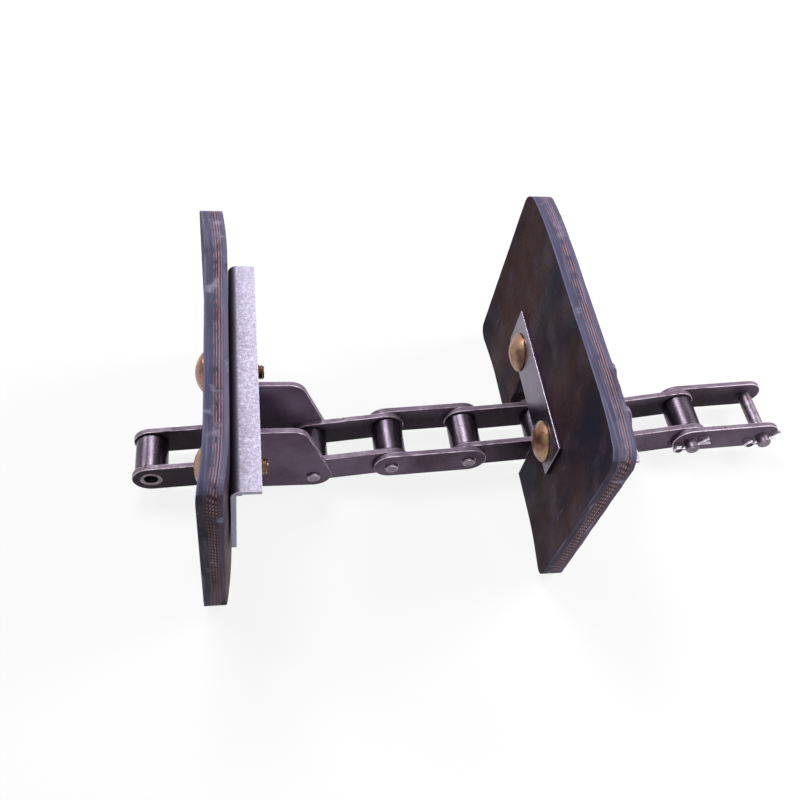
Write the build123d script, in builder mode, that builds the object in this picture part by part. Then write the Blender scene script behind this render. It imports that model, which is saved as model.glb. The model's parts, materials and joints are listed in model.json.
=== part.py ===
"""Conveyor chain with paddles: eight pitches of roller chain that carry two clamped rubber paddles.

X runs along the chain, Y along its pins and Z towards the tops of the paddles. The origin is the
middle of the free bush at the start of the chain. Lengths are in millimetres and angles in degrees.

Each kind of link is modelled once, level and with its first pin on the Y axis, and then put in its
place. The chain lies slack: every paddle's foot stands level with the far end of its link, so these
links lean and the ones between them climb back.
"""

import os

from build123d import *

# Links in their order along the chain, each with the angle that it slopes down
lean = 5.5
strand = (
    ("inner", 0.0),
    ("attachment", lean),
    ("inner", -4.0),
    ("outer", 0.0),
    ("inner", -1.5),
    ("attachment", lean),
    ("inner", -6.0),
    ("connecting", 0.0),
)

# Chain
pitch = 41.4
inner_width = 19.8
plate_height = 19.0
plate_thickness = 2.8
side_clearance = 0.1  # between an inner and an outer plate
roller_diameter = 16.7
roller_clearance = 0.08  # radial, on the bush
roller_end_play = 0.2  # at each end
bush_diameter = 10.2
pin_diameter = 7.16
pin_clearance = 0.07  # radial, in the bush
pin_chamfer = 0.7
rivet_stand = 2.0  # how far a riveted pin end stands out of its plate

# Cotters of the connecting link
cotter_diameter = 2.2
cotter_clearance = 0.15  # radial, in the pin
cotter_gap = 1.4  # from the loose plate
cotter_tilt = 25.0  # about the pin, eye down
cotter_spread = 22.0  # of each leg
cotter_leg = 7.0
eye_diameter = 6.0
eye_neck = 0.7  # from the pin
cotter_pin_end = 2.2  # pin beyond the cotter

# Cup-head bolts and their nuts
bolt_diameter = 8.0
bolt_length = 30.0  # under the head
bolt_height = 32.0  # above the chain's pins
bolt_offset = 12.9  # from the outside of the chain
bolt_end_chamfer = 0.9
head_diameter = 20.65
head_height = 4.9
head_rim = 0.8
neck_length = 4.4
hole_clearance = 0.4  # radial, round a bolt
neck_clearance = 0.1
nut_across_flats = 13.0
nut_height = 6.5

# Side plates that carry a paddle
wing_margin = 9.0  # above and below the bolt
wing_end = 13.0  # beyond the bolt
wing_corner_radius = 5.0
wing_bend_radius = 2.0  # inside
shoulder_radius = 10.0
shoulder_inset = 13.4  # from the link's last pin

# Angle that backs the paddle
angle_length = 131.0
angle_thickness = 2.5
angle_flange = 13.2
angle_drop = 11.0  # below the bolt
angle_rise = 40.0  # above the bolt
angle_bend_radius = 2.0  # inside

# Strip under the bolt heads
strip_thickness = 1.8
strip_drop = 7.0  # below the bolt
strip_rise = 16.5  # above the bolt
strip_end = 15.0  # beyond the bolt

# Paddle of ply rubber belting
paddle_offset = 1.2  # of its clamped face before the link's first pin
paddle_thickness = 10.5
paddle_length = 164.0
paddle_height = 111.5
paddle_drop = 13.5  # below the chain's pins
paddle_corner_radius = 8.0
paddle_bow = 2.8  # how far each end curls back
paddle_flat_margin = 0.5  # flat beyond the strip
notch_clearance = 1.9  # to the ends of the chain's pins
notch_cover = 2.0  # of the strip above the notch
notch_corner_radius = 3.0

# Distances from the middle of the chain
inner_face = inner_width / 2
outer_plate_face = inner_face + plate_thickness + side_clearance
outer_face = outer_plate_face + plate_thickness
rivet_end = outer_face + rivet_stand
cotter_place = outer_face + cotter_gap + cotter_diameter / 2
bolt_place = outer_face + bolt_offset

# Heights above the pins
wing_bottom = bolt_height - wing_margin
wing_top = bolt_height + wing_margin
strip_bottom = bolt_height - strip_drop
angle_bottom = bolt_height - angle_drop
angle_top = bolt_height + angle_rise

# Distances along the chain from the link's first pin
angle_face = -paddle_offset
wing_face = angle_face + angle_thickness
nut_face = wing_face + plate_thickness
strip_face = angle_face - paddle_thickness
head_face = strip_face - strip_thickness

# Radii
plate_end_radius = plate_height / 2
roller_radius = roller_diameter / 2
bush_radius = bush_diameter / 2
pin_radius = pin_diameter / 2
cotter_radius = cotter_diameter / 2
eye_radius = eye_diameter / 2
bolt_radius = bolt_diameter / 2
hole_radius = bolt_radius + hole_clearance
head_radius = head_diameter / 2


def across_plane(distance):
    """Side view from the near side: a plane the distance in front of the middle of the chain."""
    return Plane(origin=(0, -distance, 0), x_dir=(1, 0, 0), z_dir=(0, -1, 0))


def along_plane(distance):
    """View along the chain: a plane the distance after the link's first pin."""
    return Plane(origin=(distance, 0, 0), x_dir=(0, 1, 0), z_dir=(1, 0, 0))


def bolt_holes(face):
    """Outlines of the round clearance holes for the two bolts, on a face across the chain."""
    with BuildSketch(along_plane(face)) as holes:
        with Locations((-bolt_place, bolt_height), (bolt_place, bolt_height)):
            Circle(hole_radius)
    return holes.sketch


def neck_holes(face):
    """Outlines of the square holes that keep the necks of the two bolts from turning."""
    neck_hole = bolt_diameter + 2 * neck_clearance
    with BuildSketch(along_plane(face)) as holes:
        with Locations((-bolt_place, bolt_height), (bolt_place, bolt_height)):
            Rectangle(neck_hole, neck_hole)
    return holes.sketch


def link_plate(face, bore_radius):
    """Straight-sided plate with round ends, on the near side of a link."""
    with BuildPart() as plate:
        with BuildSketch(across_plane(face)):
            with Locations((pitch / 2, 0)):
                SlotCenterToCenter(pitch, plate_height)
            with Locations((0, 0), (pitch, 0)):
                Circle(bore_radius, mode=Mode.SUBTRACT)
        extrude(amount=plate_thickness)
    return plate


def attachment_plate():
    """Near plate that rises to a shoulder over its last pin and bends out into a bolted wing."""
    wing_root = nut_face + wing_bend_radius
    with BuildPart() as plate:
        with BuildSketch(across_plane(outer_plate_face)):
            with BuildLine():
                CenterArc((pitch, 0), plate_end_radius, 0, 360)
                CenterArc((pitch - shoulder_inset, wing_top - shoulder_radius), shoulder_radius, 0, 360)
                Line((wing_root, -plate_end_radius), (wing_root, wing_top))
            make_hull()
            with Locations((pitch / 2, 0)):
                SlotCenterToCenter(pitch, plate_height)
            with Locations((0, 0), (pitch, 0)):
                Circle(pin_radius, mode=Mode.SUBTRACT)
        extrude(amount=plate_thickness)

        # The bend is a quarter ring seen from above, and the wing runs on from it
        bend_place = -outer_face - wing_bend_radius
        with BuildSketch(Plane.XY.offset(wing_bottom)) as wing:
            with Locations((wing_root, bend_place)):
                Circle(wing_bend_radius + plate_thickness)
                Circle(wing_bend_radius, mode=Mode.SUBTRACT)
                Rectangle(pitch, pitch, align=(Align.MIN, Align.CENTER), mode=Mode.SUBTRACT)
                Rectangle(pitch, pitch, align=(Align.CENTER, Align.MAX), mode=Mode.SUBTRACT)
            with Locations((wing_face, bend_place)):
                Rectangle(
                    plate_thickness,
                    bolt_place + wing_end + bend_place,
                    align=(Align.MIN, Align.MAX),
                )
        extrude(amount=wing_top - wing_bottom)
        fillet(plate.edges().filter_by(Axis.X).group_by(Axis.Y)[0], wing_corner_radius)
        extrude(bolt_holes(wing_face), amount=plate_thickness, mode=Mode.SUBTRACT)
    return plate


def bushes():
    """Two bushes that are pressed into the plates of an inner link."""
    half_length = inner_face + plate_thickness
    with BuildPart() as pair:
        with BuildSketch(across_plane(-half_length)):
            with Locations((0, 0), (pitch, 0)):
                Circle(bush_radius)
                Circle(pin_radius + pin_clearance, mode=Mode.SUBTRACT)
        extrude(amount=2 * half_length)
    return pair


def roller(centre):
    """Roller that turns on one bush between the plates of an inner link."""
    half_length = inner_face - roller_end_play
    with BuildPart() as tube:
        with BuildSketch(across_plane(-half_length)):
            with Locations((centre, 0)):
                Circle(roller_radius)
                Circle(bush_radius + roller_clearance, mode=Mode.SUBTRACT)
        extrude(amount=2 * half_length)
    return tube


def pins(near_end):
    """Two pins of an outer link, riveted on the far side and ending as far out as asked on the near."""
    with BuildPart() as pair:
        with BuildSketch(across_plane(-rivet_end)):
            with Locations((0, 0), (pitch, 0)):
                Circle(pin_radius)
        extrude(amount=rivet_end + near_end)
        chamfer(pair.edges().filter_by(GeomType.CIRCLE), pin_chamfer)
    return pair


def cotter_side(centre):
    """Side view of the cotter in one pin: a plane along its wire, with its origin on the pin's axis."""
    towards_legs = Vector(1, 0, 0).rotate(Axis.Y, -cotter_tilt)
    return Plane(origin=(centre, -cotter_place, 0), x_dir=towards_legs, z_dir=(0, -1, 0))


def cotter_section(centre, distance):
    """Plane across the cotter in one pin, the distance from the pin's axis towards the eye."""
    side = cotter_side(centre)
    return Plane(origin=side.from_local_coords((-distance, 0, 0)), z_dir=side.x_dir)


def connecting_pins():
    """Two pins of the connecting link, cross-drilled on the near side for cotters."""
    drill_radius = cotter_radius + cotter_clearance
    with BuildPart() as pair:
        add(pins(cotter_place + cotter_radius + cotter_pin_end).part)
        for centre in (0, pitch):
            with BuildSketch(cotter_section(centre, pin_diameter)):
                Circle(drill_radius)
            extrude(amount=2 * pin_diameter, mode=Mode.SUBTRACT)
    return pair


def cotters():
    """Two cotters: wire folded back on itself through a round eye, with its two legs spread open."""
    neck = pin_radius + eye_neck
    with BuildPart() as pair:
        for centre in (0, pitch):
            with BuildSketch(cotter_section(centre, neck + cotter_radius)):
                Circle(cotter_radius)
            extrude(amount=2 * neck + cotter_radius)

            with BuildSketch(cotter_side(centre)):
                with Locations((-neck - eye_radius, 0)):
                    Circle(eye_radius)
                    Circle(eye_radius - cotter_radius, mode=Mode.SUBTRACT)
                for spread in (-cotter_spread, cotter_spread):
                    with Locations(Location((pin_radius, 0), spread)):
                        Rectangle(cotter_leg, cotter_radius, align=(Align.MIN, Align.CENTER))
            extrude(amount=cotter_radius / 2, both=True)
    return pair


def paddle():
    """Paddle that the clamp holds flat and whose ends curl back, notched to straddle the chain."""
    half_flat = bolt_place + strip_end + paddle_flat_margin
    half_length = paddle_length / 2
    front_end = angle_face - paddle_bow
    back_end = strip_face - paddle_bow
    with BuildPart() as board:
        with BuildSketch(Plane.XY.offset(-paddle_drop)):
            with BuildLine():
                back_flat = Line((strip_face, 0), (strip_face, half_flat))
                back_curl = TangentArc(back_flat @ 1, (back_end, half_length), tangent=(0, 1))
                front_flat = Line((angle_face, 0), (angle_face, half_flat))
                front_curl = TangentArc(front_flat @ 1, (front_end, half_length), tangent=(0, 1))
                Line(back_curl @ 1, front_curl @ 1)
                mirror(about=Plane.XZ)
            make_face()
        extrude(amount=paddle_height)
        fillet(board.edges().filter_by(Axis.X), paddle_corner_radius)

        notch_half = rivet_end + notch_clearance
        notch_height = paddle_drop + strip_bottom - notch_cover
        with BuildSketch(along_plane(strip_face)) as notch:
            with Locations((0, -paddle_drop)):
                Rectangle(2 * notch_half, notch_height, align=(Align.CENTER, Align.MIN))
            fillet(notch.vertices().group_by(Axis.Y)[-1], notch_corner_radius)
        extrude(amount=paddle_thickness, mode=Mode.SUBTRACT)
        extrude(bolt_holes(strip_face), amount=paddle_thickness, mode=Mode.SUBTRACT)
        neck_depth = neck_length - strip_thickness + neck_clearance
        extrude(neck_holes(strip_face), amount=neck_depth, mode=Mode.SUBTRACT)
    return board


def angle():
    """Bent angle that backs the paddle, with its upper flange along the chain."""
    outer_bend_radius = angle_bend_radius + angle_thickness
    with BuildPart() as bracket:
        with BuildSketch(across_plane(-angle_length / 2)) as section:
            with Locations((angle_face, angle_bottom)):
                Rectangle(angle_thickness, angle_top - angle_bottom, align=(Align.MIN, Align.MIN))
            with Locations((angle_face, angle_top)):
                Rectangle(angle_flange, angle_thickness, align=(Align.MIN, Align.MAX))
            inside_corners = section.vertices().group_by(Axis.Y)[-2]
            fillet(inside_corners.sort_by(Axis.X)[0], angle_bend_radius)
            top_corners = section.vertices().group_by(Axis.Y)[-1]
            fillet(top_corners.sort_by(Axis.X)[0], outer_bend_radius)
        extrude(amount=angle_length)
        extrude(bolt_holes(angle_face), amount=angle_thickness, mode=Mode.SUBTRACT)
    return bracket


def strip():
    """Flat strip between the bolt heads and the paddle."""
    with BuildPart() as bar:
        with BuildSketch(along_plane(head_face)):
            with Locations((0, strip_bottom)):
                Rectangle(
                    2 * (bolt_place + strip_end),
                    strip_drop + strip_rise,
                    align=(Align.CENTER, Align.MIN),
                )
        extrude(amount=strip_thickness)
        extrude(neck_holes(head_face), amount=strip_thickness, mode=Mode.SUBTRACT)
    return bar


def bolts():
    """Two cup-head bolts: a head domed in three tapers, a square neck and a round shank."""
    dome_height = head_height - head_rim
    dome_radius = (head_radius**2 + dome_height**2) / (2 * dome_height)
    seat = across_plane(bolt_place)
    seat.origin += Vector(head_face, 0, bolt_height)
    with BuildPart() as pair:
        with BuildSketch(seat):
            with BuildLine():
                rim = (-head_rim, head_radius)
                crown = (-head_height, 0)
                dome = RadiusArc(rim, crown, -dome_radius, mode=Mode.PRIVATE)
                Polyline(
                    crown,
                    dome @ (2 / 3),
                    dome @ (1 / 3),
                    rim,
                    (0, head_radius),
                    (0, bolt_radius),
                    (bolt_length - bolt_end_chamfer, bolt_radius),
                    (bolt_length, bolt_radius - bolt_end_chamfer),
                    (bolt_length, 0),
                    close=True,
                )
            make_face()
        revolve(axis=Axis(seat.origin, seat.x_dir))
        with BuildSketch(along_plane(head_face)):
            with Locations((-bolt_place, bolt_height)):
                Rectangle(bolt_diameter, bolt_diameter)
        extrude(amount=neck_length)
        mirror(about=Plane.XZ)
    return pair


def nuts():
    """Two hexagon nuts that hold the wings, the angle, the paddle and the strip together."""
    with BuildPart() as pair:
        with BuildSketch(along_plane(nut_face)):
            with Locations((-bolt_place, bolt_height), (bolt_place, bolt_height)):
                RegularPolygon(nut_across_flats / 2, 6, major_radius=False)
                Circle(bolt_radius, mode=Mode.SUBTRACT)
        extrude(amount=nut_height)
    return pair


def far_side(near):
    """Mirror image of a near plate on the far side of the chain."""
    with BuildPart() as far:
        mirror(near.part, about=Plane.XZ)
    return far


def inner_link():
    plate = link_plate(inner_face, bush_radius)
    return {
        "near_plate": plate,
        "far_plate": far_side(plate),
        "bushes": bushes(),
        "first_roller": roller(0),
        "last_roller": roller(pitch),
    }


def outer_link():
    plate = link_plate(outer_plate_face, pin_radius)
    return {"near_plate": plate, "far_plate": far_side(plate), "pins": pins(rivet_end)}


def attachment_link():
    plate = attachment_plate()
    return {
        "near_plate": plate,
        "far_plate": far_side(plate),
        "pins": pins(rivet_end),
        "paddle": paddle(),
        "angle": angle(),
        "strip": strip(),
        "bolts": bolts(),
        "nuts": nuts(),
    }


def connecting_link():
    plate = link_plate(outer_plate_face, pin_radius)
    return {
        "near_plate": plate,
        "far_plate": far_side(plate),
        "pins": connecting_pins(),
        "cotters": cotters(),
    }


def save_link(pieces, link, place):
    """Write each piece of a link, moved to the link's place in the chain, as a node of its own."""
    for node, piece in pieces.items():
        moved = piece.part.moved(place)
        moved.label = f"{link}_{node}"
        export_step(moved, f"parts/{moved.label}.step")


os.makedirs("parts", exist_ok=True)
links = {
    "inner": inner_link(),
    "outer": outer_link(),
    "attachment": attachment_link(),
    "connecting": connecting_link(),
}
made = dict.fromkeys(links, 0)
first_pin = Vector(0, 0, 0)
for kind, slope in strand:
    made[kind] += 1
    place = Location(first_pin, (0, slope, 0))
    save_link(links[kind], f"{kind}_link_{made[kind]}", place)
    first_pin = (place * Location((pitch, 0, 0))).position
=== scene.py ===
import json
import math

import bmesh
import bpy
from mathutils import Matrix, Vector, noise

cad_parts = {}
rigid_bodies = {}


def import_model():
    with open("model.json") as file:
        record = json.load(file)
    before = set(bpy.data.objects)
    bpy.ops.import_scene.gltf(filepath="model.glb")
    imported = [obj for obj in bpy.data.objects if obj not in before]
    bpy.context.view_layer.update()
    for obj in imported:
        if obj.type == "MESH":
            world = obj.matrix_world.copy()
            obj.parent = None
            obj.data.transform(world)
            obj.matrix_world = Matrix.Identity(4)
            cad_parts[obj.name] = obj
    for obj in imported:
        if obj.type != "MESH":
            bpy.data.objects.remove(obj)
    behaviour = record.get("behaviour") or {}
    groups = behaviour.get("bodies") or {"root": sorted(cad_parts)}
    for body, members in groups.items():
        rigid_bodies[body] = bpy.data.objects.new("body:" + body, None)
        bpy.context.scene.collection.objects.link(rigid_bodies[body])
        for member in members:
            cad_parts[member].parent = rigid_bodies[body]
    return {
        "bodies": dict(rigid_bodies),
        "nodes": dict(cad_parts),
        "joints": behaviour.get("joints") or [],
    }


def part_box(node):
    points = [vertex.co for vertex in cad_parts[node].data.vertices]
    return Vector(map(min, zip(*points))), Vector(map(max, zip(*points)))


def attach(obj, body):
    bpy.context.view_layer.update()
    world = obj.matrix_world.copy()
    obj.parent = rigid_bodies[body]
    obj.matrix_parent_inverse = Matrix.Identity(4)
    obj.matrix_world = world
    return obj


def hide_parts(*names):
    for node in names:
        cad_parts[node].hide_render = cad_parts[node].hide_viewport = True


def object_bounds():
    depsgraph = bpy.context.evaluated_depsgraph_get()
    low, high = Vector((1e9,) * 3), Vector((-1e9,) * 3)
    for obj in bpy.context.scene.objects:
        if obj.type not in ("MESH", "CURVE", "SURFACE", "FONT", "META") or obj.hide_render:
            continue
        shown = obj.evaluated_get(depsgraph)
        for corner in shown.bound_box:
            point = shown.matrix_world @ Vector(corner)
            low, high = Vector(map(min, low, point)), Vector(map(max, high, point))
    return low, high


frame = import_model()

solid_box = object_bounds()

# ---------------------------------------------------------------- plates of the inner links
# Straight plates with round ends, blanked from carbon steel, hardened and left dark by the heat.
# Tumbling rounds their edges, which handling rubs bright, and painted highlights lighten them too.
# Each pair is pressed on two bushes.

plate_edge = 0.00035
merge_distance = 1e-6
flat_turn = math.radians(0.4)
edge_turn = math.radians(30)
shading_turn = math.radians(40)
flat_side = 0.5


def colour(code):
    """Linear colour from the six digits that a screen shows."""
    parts = [int(code[i : i + 2], 16) / 255 for i in (0, 2, 4)]
    return [p / 12.92 if p <= 0.04045 else ((p + 0.055) / 1.055) ** 2.4 for p in parts] + [1.0]


def new_finish(name, metallic, roughness):
    """Material with one shader, and the tree and shader that its pattern is wired to."""
    material = bpy.data.materials.new(name)
    material.use_nodes = True
    shader = material.node_tree.nodes["Principled BSDF"]
    shader.inputs["Metallic"].default_value = metallic
    shader.inputs["Roughness"].default_value = roughness
    return material, material.node_tree, shader


def ranged(tree, share, low, high, new_low=0.0, new_high=1.0, course="LINEAR"):
    """Share that runs from new_low to new_high while another goes from low to high."""
    span = tree.nodes.new("ShaderNodeMapRange")
    span.interpolation_type = course
    span.inputs["From Min"].default_value = low
    span.inputs["From Max"].default_value = high
    span.inputs["To Min"].default_value = new_low
    span.inputs["To Max"].default_value = new_high
    tree.links.new(share, span.inputs["Value"])
    return span.outputs["Result"]


def patches(tree, size, low, high, stretch=(1, 1, 1), detail=4.0):
    """Soft patches about size metres wide: 0 where the noise is under low and 1 over high."""
    place = tree.nodes.new("ShaderNodeTexCoord")
    lie = tree.nodes.new("ShaderNodeMapping")
    mottle = tree.nodes.new("ShaderNodeTexNoise")
    lie.inputs["Scale"].default_value = stretch
    mottle.inputs["Scale"].default_value = 1 / size
    mottle.inputs["Detail"].default_value = detail
    tree.links.new(place.outputs["Object"], lie.inputs["Vector"])
    tree.links.new(lie.outputs["Vector"], mottle.inputs["Vector"])
    return ranged(tree, mottle.outputs["Fac"], low, high)


def marked(tree, name):
    """Share that a face of the piece carries under this name."""
    mark = tree.nodes.new("ShaderNodeAttribute")
    mark.attribute_name = name
    return mark.outputs["Fac"]


def worked(tree, operation, first, second=0.0):
    """Sum, product or the like of two shares, the second of which may be a plain number."""
    step = tree.nodes.new("ShaderNodeMath")
    step.operation = operation
    tree.links.new(first, step.inputs[0])
    if isinstance(second, (int, float)):
        step.inputs[1].default_value = second
    else:
        tree.links.new(second, step.inputs[1])
    return step.outputs[0]


def laid_over(tree, share, under, over):
    """Colour over another, where share is 1. Either may be the outcome of an earlier layer."""
    mix = tree.nodes.new("ShaderNodeMix")
    mix.data_type = "RGBA"
    tree.links.new(share, mix.inputs["Factor"])
    for side, paint in (("A", under), ("B", over)):
        socket = next(s for s in mix.inputs if s.name == side and s.type == "RGBA")
        if isinstance(paint, list):
            socket.default_value = paint
        else:
            tree.links.new(paint, socket)
    return next(s for s in mix.outputs if s.type == "RGBA")


def roughened(tree, shader, share, smooth, rough):
    """Roughness that runs from smooth to rough as share goes from 0 to 1."""
    tree.links.new(ranged(tree, share, 0.0, 1.0, smooth, rough), shader.inputs["Roughness"])


def raised(tree, shader, share, height):
    """Relief on the surface, as high as height, in metres, where share is 1."""
    bump = tree.nodes.new("ShaderNodeBump")
    bump.inputs["Strength"].default_value = 1.0
    bump.inputs["Distance"].default_value = height
    tree.links.new(share, bump.inputs["Height"])
    tree.links.new(bump.outputs["Normal"], shader.inputs["Normal"])


def copy_of(node):
    """A CAD node's shape with its doubled corners merged and its flat faces in one piece each."""
    shape = bmesh.new()
    shape.from_mesh(frame["nodes"][node].data)
    bmesh.ops.remove_doubles(shape, verts=shape.verts, dist=merge_distance)
    bmesh.ops.dissolve_limit(
        shape, angle_limit=flat_turn, verts=shape.verts, edges=shape.edges
    )
    return shape


def ease_edges(shape, radius, segments=2):
    """Rounds the sharp edges and marks the rounding, where finishes paint wear, highlights or
    shade.
    """
    eased_edge = shape.faces.layers.float.new("eased_edge")
    sharp = [edge for edge in shape.edges if edge.calc_face_angle(0.0) > edge_turn]
    eased = bmesh.ops.bevel(
        shape,
        geom=sharp,
        offset=radius,
        affect="EDGES",
        segments=segments,
        profile=0.5,
        material=-1,
        clamp_overlap=True,
    )
    for face in eased["faces"]:
        face[eased_edge] = 1.0


def add_piece(shape, node, body, material):
    """Object made of the finished shape, which stands for this node and moves with this body."""
    mesh = bpy.data.meshes.new(f"{node}_piece")
    shape.to_mesh(mesh)
    shape.free()
    mesh.shade_smooth()
    mesh.set_sharp_from_angle(angle=shading_turn)
    mesh.materials.append(material)
    piece = bpy.data.objects.new(f"{node}_piece", mesh)
    bpy.context.scene.collection.objects.link(piece)
    even = piece.modifiers.new("even shading over flats", "WEIGHTED_NORMAL")
    even.keep_sharp = True
    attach(piece, body)
    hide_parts(node)


def add_eased(node, body, radius, material, segments=2):
    """Piece with a node's own shape and eased edges."""
    shape = copy_of(node)
    ease_edges(shape, radius, segments)
    add_piece(shape, node, body, material)


def add_plates(link):
    """Both plates of a link. Their rims, the narrow faces that don't face along Y, are marked."""
    for plate in ("near_plate", "far_plate"):
        shape = copy_of(f"{link}_{plate}")
        rim = shape.faces.layers.float.new("rim")
        for face in shape.faces:
            face[rim] = 1.0 if abs(face.normal.y) < flat_side else 0.0
        ease_edges(shape, plate_edge)
        add_piece(shape, f"{link}_{plate}", link, chain_steel)


chain_steel, tree, shader = new_finish("heat-darkened chain steel", 0.0, 0.4)
shader.inputs["Specular IOR Level"].default_value = 0.06
steel = laid_over(tree, patches(tree, 0.030, 0.35, 0.65), colour("524250"), colour("7d6d80"))
steel = laid_over(tree, patches(tree, 0.0012, 0.60, 0.84), steel, colour("8d7d8e"))
# Rims and rounded edges are lighter: partly rubbed bare steel, partly painted highlight.
bare_and_highlit = worked(tree, "MULTIPLY", marked(tree, "rim"), patches(tree, 0.009, 0.20, 0.75))
steel = laid_over(tree, bare_and_highlit, steel, colour("8b7d8e"))
rubbed_and_highlit = worked(tree, "MULTIPLY", marked(tree, "eased_edge"), patches(tree, 0.006, 0.30, 0.52))
steel = laid_over(tree, rubbed_and_highlit, steel, colour("cfc0cd"))
rust = worked(tree, "MULTIPLY", marked(tree, "rim"), patches(tree, 0.0026, 0.63, 0.70))
steel = laid_over(tree, rust, steel, colour("6f4338"))
tree.links.new(steel, shader.inputs["Base Color"])
bright = worked(tree, "MAXIMUM", worked(tree, "MULTIPLY", bare_and_highlit, 0.4), rubbed_and_highlit)
tree.links.new(worked(tree, "MULTIPLY", bright, 0.7), shader.inputs["Metallic"])
roughened(tree, shader, patches(tree, 0.002, 0.3, 0.7), 0.34, 0.55)
raised(tree, shader, patches(tree, 0.0008, 0.3, 0.7), 0.00004)

inner_links = [body for body in frame["bodies"] if body.startswith("inner_link")]
for link in inner_links:
    add_plates(link)

# ---------------------------------------------------------------- bushes
# Tubes of case-hardened steel, ground outside, that are pressed into both plates of an inner link.
# The chain turns on the pins inside them and the rollers turn outside.

bush_edge = 0.0003

pin_steel, tree, shader = new_finish("ground pin steel", 0.75, 0.32)
ground = laid_over(tree, patches(tree, 0.004, 0.35, 0.65), colour("5d535f"), colour("857987"))
ground = laid_over(tree, patches(tree, 0.0015, 0.60, 0.70), ground, colour("6d4335"))
# Rounded edges are lighter: partly rubbed steel, partly painted highlight.
ground = laid_over(tree, marked(tree, "eased_edge"), ground, colour("a3949f"))
tree.links.new(ground, shader.inputs["Base Color"])
roughened(tree, shader, patches(tree, 0.001, 0.3, 0.7), 0.26, 0.45)
raised(tree, shader, patches(tree, 0.0006, 0.3, 0.7), 0.00003)

for link in inner_links:
    add_eased(f"{link}_bushes", link, bush_edge, pin_steel)

# ---------------------------------------------------------------- rollers
# Short thick tubes, turned and hardened, that run loose on the bushes and mesh with the sprocket.
# Their ends are chamfered and painted dark as shade, and the teeth polish a soft sheen round them.

roller_edge = 0.0008

roller_steel, tree, shader = new_finish("turned roller steel", 0.85, 0.3)
shader.inputs["Specular IOR Level"].default_value = 0.2
turned = laid_over(tree, patches(tree, 0.012, 0.35, 0.65), colour("3f3741"), colour("514853"))
rings = patches(tree, 0.003, 0.45, 0.75, (1, 0.1, 1))
turned = laid_over(tree, rings, turned, colour("695f6e"))
# Painted shade: the chamfered ends are dark where the rollers meet the plates.
turned = laid_over(tree, marked(tree, "eased_edge"), turned, colour("201a20"))
tree.links.new(turned, shader.inputs["Base Color"])
roughened(tree, shader, patches(tree, 0.002, 0.3, 0.7, (1, 0.2, 1)), 0.22, 0.34)
raised(tree, shader, patches(tree, 0.0007, 0.3, 0.7), 0.00003)

for number, link in enumerate(inner_links):
    for place, roller in enumerate(("first_roller", "last_roller"), start=1):
        body = f"roller_{2 * number + place}"
        add_eased(f"{link}_{roller}", body, roller_edge, roller_steel, 3)

# ---------------------------------------------------------------- plates of the outer links
# The same blanks as the inner plates, one gap further out, pressed on the ends of two pins.
# The connecting link's near plate is a loose fit that comes off when its cotters are drawn.

outer_links = [body for body in frame["bodies"] if body.startswith(("outer", "connecting"))]
for link in outer_links:
    add_plates(link)

# ---------------------------------------------------------------- plates that carry the paddles
# Longer blanks of the same steel that rise to a shoulder and are bent square into a drilled wing.
# They take the place of outer plates on the two links that carry a paddle.

paddle_links = [body for body in frame["bodies"] if body.startswith("attachment_link")]
for link in paddle_links:
    add_plates(link)

# ---------------------------------------------------------------- pins
# Round pins of case-hardened steel, pressed into the outer plates, with their ends riveted over.
# The riveting tool leaves a shallow dish inside a rounded rim on each end.

rivet_edge = 0.00035
dish_rim = 0.0011
dish_depth = 0.00022
end_reach = 0.0001
square_on = 0.99

for link in paddle_links + outer_links:
    shape = copy_of(f"{link}_pins")
    low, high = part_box(f"{link}_pins")
    ends = []
    for face in shape.faces:
        level = face.calc_center_median().y
        at_end = level < low.y + end_reach or level > high.y - end_reach
        if at_end and abs(face.normal.y) > square_on:
            ends.append(face)
    for end in ends:
        bmesh.ops.inset_region(shape, faces=[end], thickness=dish_rim, depth=-dish_depth)
    ease_edges(shape, rivet_edge)
    add_piece(shape, f"{link}_pins", link, pin_steel)

# ---------------------------------------------------------------- paddles
# Boards cut from ply rubber belting, with rows of yarn from the plies showing in the cut edges.
# They straddle the chain and are clamped between a strip and an angle, and their ends curl back.

rubber_edge = 0.0006
knife_step = 0.0045
knife_wander = 0.0006
slow_waver = 90
quick_waver = 280
wander_reach = 0.009
yarn_spacing = 0.0028
streak_fineness = 1100
streak_shortening = 0.04
flat_margin = 0.0005
facing = 0.7


def placed(link):
    """Matrix that takes a level link, with its first pin on the Y axis, to where this link lies."""
    starts = {joint["child"]: Vector(joint["pos_m"]) for joint in frame["joints"]}
    start = starts[link]
    low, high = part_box(f"{link}_pins")
    middle = (low + high) / 2
    slope = math.atan2(start.z - middle.z, middle.x - start.x)
    return Matrix.Translation(start) @ Matrix.Rotation(slope, 4, "Y")


def level_box(link, part):
    """Lowest and highest corner of a paddle link's part, as it is with its link level."""
    back = placed(link).inverted()
    corners = [back @ corner.co for corner in frame["nodes"][f"{link}_{part}"].data.vertices]
    return Vector(map(min, zip(*corners))), Vector(map(max, zip(*corners)))


def keep_level_place(shape, link):
    """Keeps each corner's place in the level link with it, for a pattern that follows the piece."""
    back = placed(link).inverted()
    level_place = shape.verts.layers.float_vector.new("in_link")
    for corner in shape.verts:
        corner[level_place] = back @ corner.co


def level_axes(tree):
    """The three coordinates of that place."""
    kept = tree.nodes.new("ShaderNodeAttribute")
    kept.attribute_name = "in_link"
    axes = tree.nodes.new("ShaderNodeSeparateXYZ")
    tree.links.new(kept.outputs["Vector"], axes.inputs["Vector"])
    return axes.outputs


def banded(tree, across, bands):
    """Colour that changes across a board: each band is a place from 0 to 1 and its colour."""
    ramp = tree.nodes.new("ShaderNodeValToRGB")
    stops = ramp.color_ramp.elements
    stops.remove(stops[0])
    stops[0].position, stops[0].color = bands[0]
    for place, tint in bands[1:]:
        stops.new(place).color = tint
    tree.links.new(across, ramp.inputs["Fac"])
    return ramp.outputs["Color"]


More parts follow.
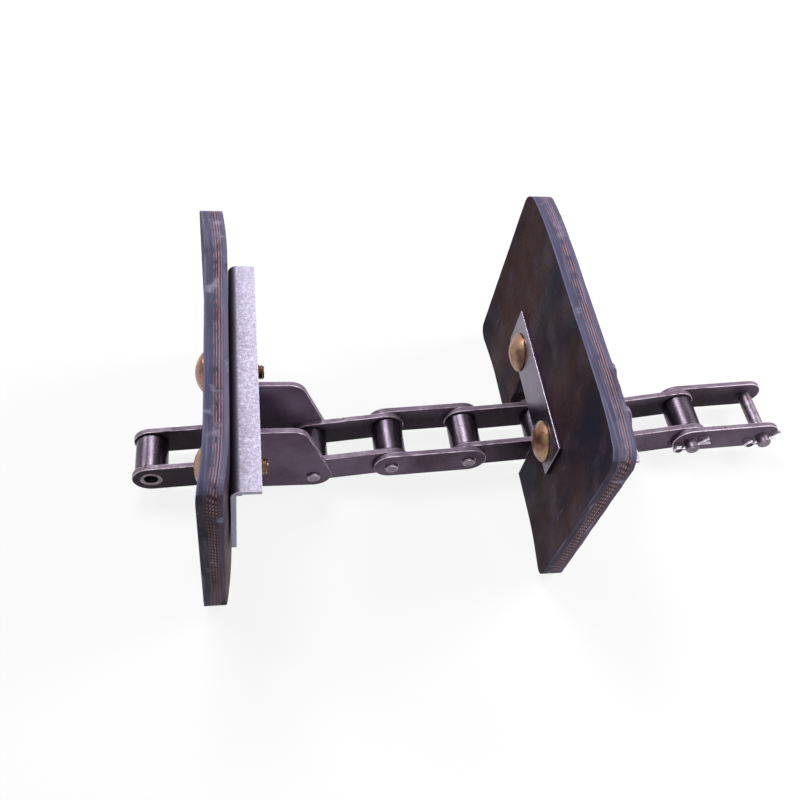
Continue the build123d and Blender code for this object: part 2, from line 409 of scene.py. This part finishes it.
board_low, board_high = level_box(paddle_links[0], "paddle")
strip_low, strip_high = level_box(paddle_links[0], "strip")
board_back = strip_high.x
board_thickness = board_high.x - board_back
half_flat = strip_high.y + flat_margin
bow = board_back - board_low.x
curl_radius = ((board_high.y - half_flat) ** 2 + bow**2) / (2 * bow)


def cut_by_hand(shape):
    """Lets a level board's outer edges wander inwards a little, as a guided knife leaves them."""
    reach = board_high.z - wander_reach

    def is_cut(face):
        middle = face.calc_center_median()
        outside = abs(middle.y) > board_high.y - wander_reach or middle.z > reach
        return abs(face.normal.x) < facing and outside

    long_edges = {}
    for edge in shape.edges:
        kinds = {is_cut(face) for face in edge.link_faces}
        steps = int(edge.calc_length() / knife_step)
        if kinds == {True, False} and steps > 0:
            long_edges.setdefault(steps, []).append(edge)
    for steps, edges in long_edges.items():
        bmesh.ops.subdivide_edges(shape, edges=edges, cuts=steps, use_grid_fill=True)
    moves = {}
    for corner in shape.verts:
        outwards = sum((f.normal for f in corner.link_faces if is_cut(f)), Vector())
        outwards.x = 0
        if outwards.length > 0:
            along = Vector((corner.co.x * 0.3, corner.co.y, corner.co.z))
            depth = 0.5 + 0.35 * noise.noise(along * slow_waver)
            depth += 0.35 * noise.noise(along * quick_waver)
            moves[corner] = -outwards.normalized() * knife_wander * min(1.0, max(0.0, depth))
    for corner, move in moves.items():
        corner.co += move


rubber, tree, shader = new_finish("ply rubber belting", 0.0, 0.5)
shader.inputs["Specular IOR Level"].default_value = 0.03
clouds = patches(tree, 0.045, 0.40, 0.60, (1, 1, 0.6), 6.0)
face_rubber = laid_over(tree, clouds, colour("452d2d"), colour("272332"))
dust = patches(tree, 0.018, 0.50, 0.72, detail=8.0)
face_rubber = laid_over(tree, dust, face_rubber, colour("4e3e4b"))
stains = patches(tree, 0.007, 0.50, 1.0, (1, 1, 0.6))
face_rubber = laid_over(tree, stains, face_rubber, colour("20191f"))
scratches = patches(tree, 0.0030, 0.63, 0.69, (1, 1, 0.2))
scuffs = worked(tree, "MULTIPLY", scratches, patches(tree, 0.030, 0.60, 0.68))
face_rubber = laid_over(tree, scuffs, face_rubber, colour("8a7a90"))

# How deep in the thickness a place on a cut edge lies, from 0 to 1, followed round the curl
axes = level_axes(tree)
out_from_flat = worked(tree, "SUBTRACT", worked(tree, "ABSOLUTE", axes["Y"]), half_flat)
out_from_flat = worked(tree, "MAXIMUM", out_from_flat, 0.0)
curl = worked(tree, "MULTIPLY", worked(tree, "POWER", out_from_flat, 2.0), 1 / (2 * curl_radius))
from_back = worked(tree, "ADD", worked(tree, "SUBTRACT", axes["X"], board_back), curl)
depth = worked(tree, "DIVIDE", from_back, board_thickness)

# Four plies at their depths, broken up into the ends of their yarns
waver = ranged(tree, patches(tree, 0.010, 0.0, 1.0), 0.0, 1.0, -0.03, 0.03)
ply_bands = [(0.0, (0, 0, 0, 1))]
for ply, strength in ((0.41, 0.5), (0.52, 0.75), (0.63, 1.0), (0.74, 0.65)):
    for step, share in ((-0.028, 0.0), (-0.011, strength), (0.011, strength), (0.028, 0.0)):
        ply_bands.append((ply + step, (share, share, share, 1)))
plies = banded(tree, worked(tree, "ADD", depth, waver), ply_bands)
along = worked(tree, "ADD", axes["Z"], worked(tree, "MULTIPLY", from_back, 0.5))
rows = worked(tree, "SINE", worked(tree, "MULTIPLY", along, 2 * math.pi / yarn_spacing))
slit = worked(tree, "MULTIPLY", marked(tree, "lengthwise"), patches(tree, 0.0045, 0.36, 0.54))
yarn = worked(tree, "MAXIMUM", ranged(tree, rows, -0.2, 0.5), slit)
yarn_ends = worked(tree, "MULTIPLY", plies, yarn)
yarn_ends = worked(tree, "MULTIPLY", yarn_ends, patches(tree, 0.012, 0.30, 0.46))

# Tints of the rubber between them, painted lit in the cuts along the board and shaded across its
# ends
# Along the board: a painted highlight at the back edge, lighter again at the front, plies between
long_cut_bands = [
    (0.0, colour("75738e")),
    (0.10, colour("4c4b64")),
    (0.42, colour("464459")),
    (0.50, colour("453845")),
    (0.76, colour("403442")),
    (0.82, colour("6a627c")),
]
long_cuts = banded(tree, depth, long_cut_bands)
long_cuts = laid_over(tree, patches(tree, 0.025, 0.40, 0.70), long_cuts, colour("5a5870"))
# Across the ends: darker than along the board, as painted shade
end_cut_bands = [
    (0.34, colour("433d49")),
    (0.40, colour("46363f")),
    (0.76, colour("46363f")),
    (0.82, colour("5d4f60")),
]
end_cuts = banded(tree, depth, end_cut_bands)
cut_rubber = laid_over(tree, marked(tree, "lengthwise"), end_cuts, long_cuts)

# Fine streaks that lie along the layers, then smudges, grime and the yarns over them
layers = tree.nodes.new("ShaderNodeCombineXYZ")
tree.links.new(from_back, layers.inputs["X"])
tree.links.new(worked(tree, "MULTIPLY", axes["Y"], streak_shortening), layers.inputs["Y"])
tree.links.new(worked(tree, "MULTIPLY", axes["Z"], streak_shortening), layers.inputs["Z"])
grain = tree.nodes.new("ShaderNodeTexNoise")
grain.inputs["Scale"].default_value = streak_fineness
grain.inputs["Detail"].default_value = 3
tree.links.new(layers.outputs["Vector"], grain.inputs["Vector"])
streaks = ranged(tree, grain.outputs["Fac"], 0.50, 0.75)
streaks = worked(tree, "MULTIPLY", streaks, patches(tree, 0.030, 0.35, 0.60))
cut_rubber = laid_over(tree, streaks, cut_rubber, colour("7a7690"))
cut_rubber = laid_over(tree, patches(tree, 0.010, 0.60, 0.74), cut_rubber, colour("8f8fa6"))
grime = patches(tree, 0.016, 0.62, 0.72, (1, 0.5, 1), 6.0)
cut_rubber = laid_over(tree, grime, cut_rubber, colour("2c2a36"))
yarn_tint = laid_over(tree, marked(tree, "lengthwise"), colour("c49d93"), colour("a98791"))
cut_rubber = laid_over(tree, yarn_ends, cut_rubber, yarn_tint)
whole_rubber = laid_over(tree, marked(tree, "cut"), face_rubber, cut_rubber)
tree.links.new(whole_rubber, shader.inputs["Base Color"])
roughened(tree, shader, patches(tree, 0.020, 0.3, 0.7), 0.40, 0.62)
raised(tree, shader, patches(tree, 0.0016, 0.3, 0.7), 0.00008)

for link in paddle_links:
    shape = copy_of(f"{link}_paddle")
    back = placed(link).inverted()
    bmesh.ops.transform(shape, matrix=back, verts=shape.verts)
    cut_by_hand(shape)
    bmesh.ops.transform(shape, matrix=placed(link), verts=shape.verts)
    shape.normal_update()
    cut = shape.faces.layers.float.new("cut")
    lengthwise = shape.faces.layers.float.new("lengthwise")
    for face in shape.faces:
        level = back.to_3x3() @ face.normal
        face[cut] = 1.0 if abs(level.x) < facing else 0.0
        face[lengthwise] = 1.0 if abs(level.z) > facing else 0.0
    ease_edges(shape, rubber_edge, segments=3)
    keep_level_place(shape, link)
    add_piece(shape, f"{link}_paddle", link, rubber)

# ---------------------------------------------------------------- angles
# Angle bent from galvanised sheet, which backs the paddle and is bolted through its long flange.
# The zinc has dulled to a fine pale speckle, and painted shade darkens the bend, which rolls under.

angle_edge = 0.0004
bend_width = 0.0045
least_slant = 0.15
end_facing = 0.1
least_bend_area = 0.00001

galvanised, tree, shader = new_finish("dull zinc on bent sheet", 0.4, 0.5)
zinc = laid_over(tree, patches(tree, 0.0010, 0.30, 0.70), colour("938ba1"), colour("ada6bc"))
zinc = laid_over(tree, patches(tree, 0.0006, 0.58, 0.78), zinc, colour("786f83"))
zinc = laid_over(tree, patches(tree, 0.022, 0.46, 0.80), zinc, colour("8e869c"))
# Painted shade across the bend, darkest where it rolls under next to the paddle.
bend_end = board_high.x + bend_width
bend_start = board_high.x + bend_width / 5
rolled_under = ranged(tree, level_axes(tree)["X"], bend_end, bend_start, course="SMOOTHSTEP")
bend_shade = worked(tree, "MULTIPLY", marked(tree, "bend"), rolled_under)
zinc = laid_over(tree, bend_shade, zinc, colour("564d60"))
# Rounded edges are lighter: partly rubbed zinc, partly painted highlight.
zinc = laid_over(tree, marked(tree, "eased_edge"), zinc, colour("d9d2e2"))
tree.links.new(zinc, shader.inputs["Base Color"])
roughened(tree, shader, patches(tree, 0.0015, 0.3, 0.7), 0.36, 0.58)
raised(tree, shader, patches(tree, 0.0006, 0.3, 0.7), 0.00004)

for link in paddle_links:
    shape = copy_of(f"{link}_angle")
    ease_edges(shape, angle_edge)
    keep_level_place(shape, link)
    back = placed(link).inverted()
    bend = shape.faces.layers.float.new("bend")
    for face in shape.faces:
        level = back.to_3x3() @ face.normal
        slanted = min(abs(level.x), abs(level.z)) > least_slant and abs(level.y) < end_facing
        face[bend] = 1.0 if slanted and face.calc_area() > least_bend_area else 0.0
    add_piece(shape, f"{link}_angle", link, galvanised)

# ---------------------------------------------------------------- strips
# Flat strip of sheared mild steel with two square holes, which spreads the bolt heads' pull.
# Its faces keep the mill's smooth sheen, and its sheared edges are brighter, partly painted
# highlight.

strip_edge = 0.0003

strip_steel, tree, shader = new_finish("sheared strip steel", 0.8, 0.3)
sheet = laid_over(tree, patches(tree, 0.040, 0.40, 0.60), colour("52485a"), colour("6d6377"))
sheet = laid_over(tree, patches(tree, 0.0015, 0.55, 0.72), sheet, colour("7a7085"))
# Rounded edges are lighter: partly sheared bright steel, partly painted highlight.
sheet = laid_over(tree, marked(tree, "eased_edge"), sheet, colour("8d8292"))
tree.links.new(sheet, shader.inputs["Base Color"])
roughened(tree, shader, patches(tree, 0.003, 0.3, 0.7, (1, 1, 0.3)), 0.12, 0.24)
raised(tree, shader, patches(tree, 0.001, 0.3, 0.7), 0.00004)

for link in paddle_links:
    add_eased(f"{link}_strip", link, strip_edge, strip_steel)

# ---------------------------------------------------------------- cup-head bolts
# Forged bolts with a plain shallow dome, a square neck and a rolled M8 thread, zinc plated and
# passivated to a yellow that runs from gold to pink. The necks sit in the strip's square holes.

head_rim = 0.0008
rim_height = 0.0002
seat_chamfer = 0.0003
dome_steps = 9
round_steps = 48
neck_width = 0.008
neck_length = 0.0044
thread_start = 0.0205
thread_pitch = 0.00125
thread_depth = 0.0007
thread_steps = 20
end_chamfer = 0.0009
bolt_radius = 0.004

bolt_low, bolt_high = level_box(paddle_links[0], "bolts")
head_radius = (bolt_high.z - bolt_low.z) / 2
head_seat = strip_low.x
head_height = head_seat - bolt_low.x
bolt_length = bolt_high.x - head_seat
bolt_side = bolt_high.y - head_radius
bolt_height = (bolt_high.z + bolt_low.z) / 2


def turn_about_x(shape, steps):
    """Spins an outline that starts and ends on the X axis into a closed turned shape."""
    bmesh.ops.spin(
        shape,
        geom=shape.verts[:] + shape.edges[:],
        cent=(0, 0, 0),
        axis=(1, 0, 0),
        dvec=(0, 0, 0),
        angle=2 * math.pi,
        steps=steps,
        use_merge=True,
    )
    bmesh.ops.remove_doubles(shape, verts=shape.verts, dist=merge_distance)
    bmesh.ops.recalc_face_normals(shape, faces=shape.faces)


def drawn_on(shape, last, x, z):
    """Outline carried on from its last corner to a new one, which is given back."""
    step = bmesh.ops.extrude_vert_indiv(shape, verts=[last])
    step["verts"][0].co = (x, 0, z)
    return step["verts"][0]


def domed_head():
    """Head and shank of a bolt along X, turned from one outline, with the head's seat at zero."""
    shape = bmesh.new()
    rise = head_height - head_rim
    dome_radius = (head_radius**2 + rise**2) / (2 * rise)
    crown = bmesh.ops.create_vert(shape, co=(-head_height, 0, 0))["vert"][0]
    arc = bmesh.ops.spin(
        shape,
        geom=[crown],
        cent=(dome_radius - head_height, 0, 0),
        axis=(0, 1, 0),
        dvec=(0, 0, 0),
        angle=math.asin(head_radius / dome_radius),
        steps=dome_steps,
    )
    last = next(g for g in arc["geom_last"] if isinstance(g, bmesh.types.BMVert))
    root_radius = bolt_radius - thread_depth
    last = drawn_on(shape, last, -rim_height, head_radius)
    last = drawn_on(shape, last, 0, head_radius - seat_chamfer)
    last = drawn_on(shape, last, 0, bolt_radius)
    last = drawn_on(shape, last, thread_start, bolt_radius)
    last = drawn_on(shape, last, thread_start + thread_depth, root_radius)
    last = drawn_on(shape, last, bolt_length - thread_pitch, root_radius)
    drawn_on(shape, last, bolt_length - thread_pitch, 0)
    turn_about_x(shape, round_steps)
    return shape


def rolled_thread():
    """Thread along X: one turn of its outline wound on, then cut square at both ends."""
    shape = bmesh.new()
    root_radius = bolt_radius - thread_depth
    wound_from = thread_start - thread_pitch
    turns = math.ceil((bolt_length - wound_from) / thread_pitch) + 1
    last = bmesh.ops.create_vert(shape, co=(wound_from, 0, root_radius))["vert"][0]
    flank = ((0.20, root_radius), (0.53, bolt_radius), (0.67, bolt_radius), (1.0, root_radius))
    for share, radius in flank:
        last = drawn_on(shape, last, wound_from + share * thread_pitch, radius)
    bmesh.ops.spin(
        shape,
        geom=shape.verts[:] + shape.edges[:],
        cent=(0, 0, 0),
        axis=(1, 0, 0),
        dvec=(thread_pitch / thread_steps, 0, 0),
        angle=2 * math.pi * turns,
        steps=thread_steps * turns,
    )
    bmesh.ops.remove_doubles(shape, verts=shape.verts, dist=2 * merge_distance)
    for cut_at, outwards in ((thread_start, -1), (bolt_length, 1)):
        bmesh.ops.bisect_plane(
            shape,
            geom=shape.verts[:] + shape.edges[:] + shape.faces[:],
            plane_co=(cut_at, 0, 0),
            plane_no=(outwards, 0, 0),
            clear_outer=True,
        )
    bmesh.ops.remove_doubles(shape, verts=shape.verts, dist=2 * merge_distance)
    bmesh.ops.holes_fill(shape, edges=[e for e in shape.edges if e.is_boundary], sides=0)
    groove = shape.verts.layers.float.new("groove")
    for corner in shape.verts:
        from_axis = math.hypot(corner.co.y, corner.co.z)
        corner[groove] = min(1.0, max(0.0, (bolt_radius - from_axis) / thread_depth))
        allowed = bolt_radius - max(0.0, corner.co.x - (bolt_length - end_chamfer))
        if from_axis > allowed:
            corner.co.y *= allowed / from_axis
            corner.co.z *= allowed / from_axis
    bmesh.ops.recalc_face_normals(shape, faces=shape.faces)
    return shape


def joined(shapes):
    """One shape that holds several."""
    whole = bmesh.new()
    for part in shapes:
        between = bpy.data.meshes.new("between")
        part.to_mesh(between)
        part.free()
        whole.from_mesh(between)
        bpy.data.meshes.remove(between)
    return whole


plated_bolt, tree, shader = new_finish("yellow passivated zinc", 0.85, 0.3)
plating = laid_over(tree, patches(tree, 0.009, 0.40, 0.60), colour("7f5840"), colour("a37f68"))
plating = laid_over(tree, patches(tree, 0.006, 0.55, 0.70), plating, colour("a67878"))
plating = laid_over(tree, patches(tree, 0.0045, 0.60, 0.72), plating, colour("a59a52"))
plating = laid_over(tree, patches(tree, 0.0012, 0.58, 0.75), plating, colour("6e4a35"))
# Painted shade: the thread darkens towards the root of each groove.
plating = laid_over(tree, marked(tree, "groove"), plating, colour("33211a"))
tree.links.new(plating, shader.inputs["Base Color"])
roughened(tree, shader, patches(tree, 0.003, 0.3, 0.7), 0.24, 0.42)
raised(tree, shader, patches(tree, 0.0010, 0.3, 0.7), 0.00004)

for link in paddle_links:
    bolts = []
    for side in (-bolt_side, bolt_side):
        neck = bmesh.new()
        bmesh.ops.create_cube(neck, size=1.0)
        bmesh.ops.scale(neck, vec=(neck_length, neck_width, neck_width), verts=neck.verts)
        bmesh.ops.translate(neck, vec=(neck_length / 2, 0, 0), verts=neck.verts)
        for part in (domed_head(), neck, rolled_thread()):
            bmesh.ops.translate(part, vec=(head_seat, side, bolt_height), verts=part.verts)
            bolts.append(part)
    shape = joined(bolts)
    bmesh.ops.transform(shape, matrix=placed(link), verts=shape.verts)
    add_piece(shape, f"{link}_bolts", link, plated_bolt)

# ---------------------------------------------------------------- nuts
# Plain hexagon nuts, zinc plated and passivated like the bolts, with their corners turned down.
# They pull the wing, the angle, the paddle and the strip together.

nut_edge = 0.0004

for link in paddle_links:
    add_eased(f"{link}_nuts", link, nut_edge, plated_bolt)

# ---------------------------------------------------------------- cotters of the connecting link
# Split pins folded from half-round bright wire, with a round eye and two legs spread open.
# One goes through each pin, outside the loose plate, and keeps the chain joined.

wire_radius = 0.0011
wire_gap = 0.00006
eye_radius = 0.003
pin_radius = 0.00358
eye_neck = 0.0007
eye_opening = math.radians(25)
leg_length = 0.0061
leg_spread = math.radians(22)
cotter_tilt = math.radians(25)


def folded_cotter():
    """Cotter on the XZ plane, with its pin's axis at the origin and its legs along X."""
    inside = eye_radius - wire_radius
    eye_centre = -(pin_radius + eye_neck + eye_radius)
    neck_turn = inside * math.sin(eye_opening) / (1 - math.sin(eye_opening))
    neck_end = eye_centre + (inside + neck_turn) * math.cos(eye_opening)
    leg_turn = 2 * wire_radius

    # Half a disc across X, with its flat side down and just clear of the other half
    shape = bmesh.new()
    bmesh.ops.create_circle(shape, cap_ends=True, segments=16, radius=wire_radius)
    bmesh.ops.bisect_plane(
        shape,
        geom=shape.verts[:] + shape.edges[:] + shape.faces[:],
        plane_co=(0, wire_gap / 2, 0),
        plane_no=(0, -1, 0),
        clear_outer=True,
    )
    stand = Matrix.Rotation(math.pi / 2, 3, "Z") @ Matrix.Rotation(math.pi / 2, 3, "X")
    bmesh.ops.rotate(shape, cent=(0, 0, 0), matrix=stand, verts=shape.verts)

    def faces_of(made):
        return [g for g in made if isinstance(g, bmesh.types.BMFace)]

    def drawn_out(end, step):
        made = bmesh.ops.extrude_face_region(shape, geom=end)["geom"]
        corners = [g for g in made if isinstance(g, bmesh.types.BMVert)]
        bmesh.ops.translate(shape, vec=step, verts=corners)
        bmesh.ops.delete(shape, geom=end, context="FACES_ONLY")
        return faces_of(made)

    def bent(end, centre, turn, steps):
        made = bmesh.ops.spin(
            shape, geom=end, cent=centre, axis=(0, 1, 0), dvec=(0, 0, 0), angle=turn, steps=steps
        )
        last = faces_of(made["geom_last"])
        left = [face for face in end if face.is_valid and face not in last]
        bmesh.ops.delete(shape, geom=left, context="FACES_ONLY")
        return last

    # The leg goes through the pin and spreads; the same start leads back to the neck and the eye
    start = shape.faces[:]
    twin = faces_of(bmesh.ops.duplicate(shape, geom=start)["geom"])
    end = drawn_out(start, (pin_radius, 0, 0))
    end = bent(end, (pin_radius, 0, leg_turn), -leg_spread, 4)
    drawn_out(end, (leg_length * math.cos(leg_spread), 0, leg_length * math.sin(leg_spread)))
    end = drawn_out(twin, (neck_end, 0, 0))
    end = bent(end, (neck_end, 0, neck_turn), math.pi / 2 - eye_opening, 5)
    end = bent(end, (eye_centre, 0, 0), -(math.pi - eye_opening), 14)
    bmesh.ops.delete(shape, geom=end, context="FACES_ONLY")

    # The other half of the wire lies along this one and meets it at the back of the eye
    other = bmesh.ops.duplicate(shape, geom=shape.verts[:] + shape.edges[:] + shape.faces[:])
    corners = [g for g in other["geom"] if isinstance(g, bmesh.types.BMVert)]
    bmesh.ops.scale(shape, vec=(1, 1, -1), verts=corners)
    bmesh.ops.remove_doubles(shape, verts=shape.verts, dist=merge_distance)
    bmesh.ops.recalc_face_normals(shape, faces=shape.faces)
    return shape


cotter_steel, tree, shader = new_finish("bright cotter wire", 0.85, 0.3)
wire = laid_over(tree, patches(tree, 0.003, 0.35, 0.65), colour("b5aebb"), colour("d8d2dc"))
wire = laid_over(tree, patches(tree, 0.0012, 0.60, 0.72), wire, colour("7b7079"))
tree.links.new(wire, shader.inputs["Base Color"])
roughened(tree, shader, patches(tree, 0.002, 0.3, 0.7), 0.24, 0.42)
raised(tree, shader, patches(tree, 0.0008, 0.3, 0.7), 0.00003)

link = "connecting_link_1"
low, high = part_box(f"{link}_cotters")
cotter_out = (low.y + high.y) / 2
low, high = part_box(f"{link}_pins")
cotters = []
for centre in (low.x + pin_radius, high.x - pin_radius):
    shape = folded_cotter()
    lie = Matrix.Translation((centre, cotter_out, (low.z + high.z) / 2))
    lie = lie @ Matrix.Rotation(-cotter_tilt, 4, "Y")
    bmesh.ops.transform(shape, matrix=lie, verts=shape.verts)
    cotters.append(shape)
add_piece(joined(cotters), f"{link}_cotters", link, cotter_steel)

# ---------------------------------------------------------------- bench and room
# Glass bench, lightly fogged with white, just under the lowest edges of the chain in a white room.
# Links that bend down past its surface still show through it.

bench_size = 3.0
bench_middle = 0.15
room_light = 0.04

glass, tree, shader = new_finish("white-fogged glass bench", 0.0, 0.9)
shader.inputs["Base Color"].default_value = (0.95, 0.95, 0.95, 1)
shader.inputs["Specular IOR Level"].default_value = 0.0
shader.inputs["Alpha"].default_value = 0.14

bench_shape = bmesh.new()
bmesh.ops.create_grid(bench_shape, x_segments=1, y_segments=1, size=bench_size)
bench_place = (bench_middle, 0, solid_box[0].z)
bmesh.ops.translate(bench_shape, vec=bench_place, verts=bench_shape.verts)
bench_mesh = bpy.data.meshes.new("bench")
bench_shape.to_mesh(bench_mesh)
bench_shape.free()
bench_mesh.materials.append(glass)
bench = bpy.data.objects.new("bench", bench_mesh)
bpy.context.scene.collection.objects.link(bench)

world = bpy.data.worlds.new("white room")
bpy.context.scene.world = world
world.use_nodes = True
tree = world.node_tree
room = tree.nodes["Background"]
room.inputs["Color"].default_value = (1, 1, 1, 1)
path = tree.nodes.new("ShaderNodeLightPath")
seen = worked(tree, "MAXIMUM", path.outputs["Is Camera Ray"], path.outputs["Is Glossy Ray"])
seen = worked(tree, "MAXIMUM", seen, path.outputs["Is Transmission Ray"])
tree.links.new(ranged(tree, seen, 0.0, 1.0, room_light, 1.0), room.inputs["Strength"])

# ---------------------------------------------------------------- lamps
# Four softboxes. The main one stands on the right, the one behind draws a sheen on the rollers,
# and the two weaker ones reach the left and near sides.


def add_lamp(name, place, aim, width, watts):
    """Square area lamp that faces a point."""
    data = bpy.data.lights.new(name, "AREA")
    data.shape = "SQUARE"
    data.size = width
    data.energy = watts
    lamp = bpy.data.objects.new(name, data)
    lamp.location = place
    lamp.rotation_euler = (Vector(aim) - Vector(place)).to_track_quat("-Z", "Y").to_euler()
    bpy.context.scene.collection.objects.link(lamp)


middle = (solid_box[0] + solid_box[1]) / 2
add_lamp("right softbox", (1.05, 0.15, 0.75), middle, 0.5, 10.5)
add_lamp("back softbox", (-0.02, 0.56, 0.90), middle, 0.4, 7.0)
add_lamp("left softbox", (-0.60, 0.50, 0.60), middle, 0.3, 3.0)
add_lamp("front softbox", (0.34, -0.50, 0.08), middle, 0.2, 1.15)

# ---------------------------------------------------------------- camera
# Camera above the near side of the chain, which looks down on it and a little to the right.
# Its lens shows the whole strand with white all round.

camera_place = Vector((0.0785580, -0.2471246, 0.3858056))
yaw, pitch, roll = 0.19865, 0.94500, 0.09118
ahead = Vector(
    (math.sin(yaw) * math.cos(pitch), math.cos(yaw) * math.cos(pitch), -math.sin(pitch))
)
level_right = ahead.cross(Vector((0, 0, 1))).normalized()
level_up = level_right.cross(ahead)
right = math.cos(roll) * level_right + math.sin(roll) * level_up
up = -math.sin(roll) * level_right + math.cos(roll) * level_up
camera_data = bpy.data.cameras.new("camera")
camera_data.sensor_width = 36.0
camera_data.lens = 38.474
camera_data.clip_start = 0.01
camera_data.clip_end = 20.0
camera = bpy.data.objects.new("camera", camera_data)
turned_to = Matrix((right, up, -ahead)).transposed().to_4x4()
camera.matrix_world = Matrix.Translation(camera_place) @ turned_to
bpy.context.scene.collection.objects.link(camera)
bpy.context.scene.camera = camera
bpy.context.scene.view_settings.view_transform = "Standard"
